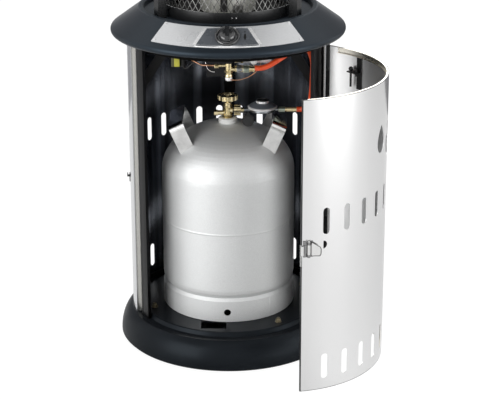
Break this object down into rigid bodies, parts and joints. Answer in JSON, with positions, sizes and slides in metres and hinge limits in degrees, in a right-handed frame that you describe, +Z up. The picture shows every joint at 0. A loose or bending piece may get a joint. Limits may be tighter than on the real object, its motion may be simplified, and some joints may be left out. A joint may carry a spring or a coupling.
{
  "type": "gas patio heater",
  "caption": "Round cabinet gas patio heater with a side-hinged door open on its gas bottle, a sloped control ring, a mesh emitter and a domed reflector.",
  "frame": {"origin": "centre of the base's foot circle, on the ground", "axes": "+Z up, the front with the control knob faces -Y, +X to the right of the heater as seen from the front, where the door is hinged"},
  "size_m": [0.6043, 0.7766, 1.1498],
  "materials": {
    "slate": "satin powder coat, dark slate",
    "stainless": "polished stainless sheet",
    "black_steel": "satin black paint",
    "grey_steel": "plain pressed steel",
    "plate_steel": "brushed, lines round the ring",
    "inset_black": "black with bevelled rim",
    "knob_black": "moulded",
    "brass": "machined",
    "copper": "drawn copper pipe",
    "zinc_grey": "die cast, grey",
    "chrome": "bright plated",
    "hose_red": "smooth hose",
    "black_rubber": "moulded",
    "bottle_metal": "satin silver",
    "white_plastic": "moulded",
    "emitter_wire": "heat-toned woven sheet",
    "hood_metal": "spun, satin"
  },
  "bodies": {
    "cabinet": {"base_dish": "slate", "base_bolts": "brass", "housing_shell": "stainless", "foot_angle": "grey_steel", "side_hook": "grey_steel", "jamb_left": "stainless", "jamb_right": "stainless", "hinge_fixed_leaf": "black_steel", "hinge_pin": "black_steel", "ring_carrier": "grey_steel", "brace_left": "black_steel", "brace_right": "black_steel", "brace_rear": "black_steel", "control_ring": "slate", "control_plate": "plate_steel", "control_inset": "inset_black", "plate_rivets": "chrome", "knob_bezel": "chrome", "gas_valve": "black_steel", "valve_outlet": "brass", "inlet_fitting": "brass", "burner_pipe": "grey_steel", "pilot_pipe": "copper", "igniter_box": "black_steel", "burner_pan": "grey_steel", "burner_head": "grey_steel", "emitter_band": "black_steel", "emitter_mesh": "emitter_wire", "emitter_cap": "black_steel", "pilot_burner": "grey_steel", "post_left": "black_steel", "post_right": "black_steel", "post_rear": "black_steel", "reflector": "hood_metal", "reflector_nuts": "chrome", "bottle_body": "bottle_metal", "bottle_foot_ring": "bottle_metal", "bottle_collar": "white_plastic", "bottle_handles": "bottle_metal", "bottle_valve": "brass", "union_nut": "brass", "regulator_body": "zinc_grey", "regulator_cover": "zinc_grey", "regulator_cap": "chrome", "cap_strap": "black_rubber", "hose_tail": "zinc_grey", "gas_hose": "hose_red"},
    "door": {"door_panel": "stainless", "door_top_rim": "stainless", "door_foot_rim": "stainless", "hinge_door_leaf": "black_steel", "door_bracket": "black_steel", "latch_base": "stainless", "latch_tongue": "stainless"},
    "latch": {"latch_lever": "stainless"},
    "spindle": {"valve_spindle": "brass"},
    "knob": {"control_knob": "knob_black"},
    "wheel": {"handwheel": "brass"},
    "cap": {"dust_cap": "black_rubber"}
  },
  "joints": [
    {"name": "door_hinge", "type": "hinge", "parent": "cabinet", "child": "door", "pos_m": [0.21902, -0.07499, 0.39], "axis": [0, 0, 1], "range_deg": [-80, 15]},
    {"name": "latch_turn", "type": "hinge", "parent": "door", "child": "latch", "pos_m": [0.16333, -0.50322, 0.392], "axis": [0, 0, -1], "range_deg": [0, 120]},
    {"name": "spindle_turn", "type": "hinge", "parent": "cabinet", "child": "spindle", "pos_m": [0, -0.225, 0.75916], "axis": [0, -0.5878, 0.809], "range_deg": [0, 180]},
    {"name": "knob_push", "type": "slide", "parent": "spindle", "child": "knob", "axis": [0, 0.5878, -0.809], "range_m": [0, 0.004], "stiffness_N_per_m": 500, "springref_m": -0.001},
    {"name": "wheel_turn", "type": "hinge", "parent": "cabinet", "child": "wheel", "pos_m": [-0.002, 0, 0.558], "axis": [0, 0, 1], "range_deg": [0, 630]},
    {"name": "cap_swing", "type": "hinge", "parent": "cabinet", "child": "cap", "pos_m": [0.044, -0.0285, 0.5321], "axis": [0, 1, 0], "range_deg": [-30, 30]}
  ]
}
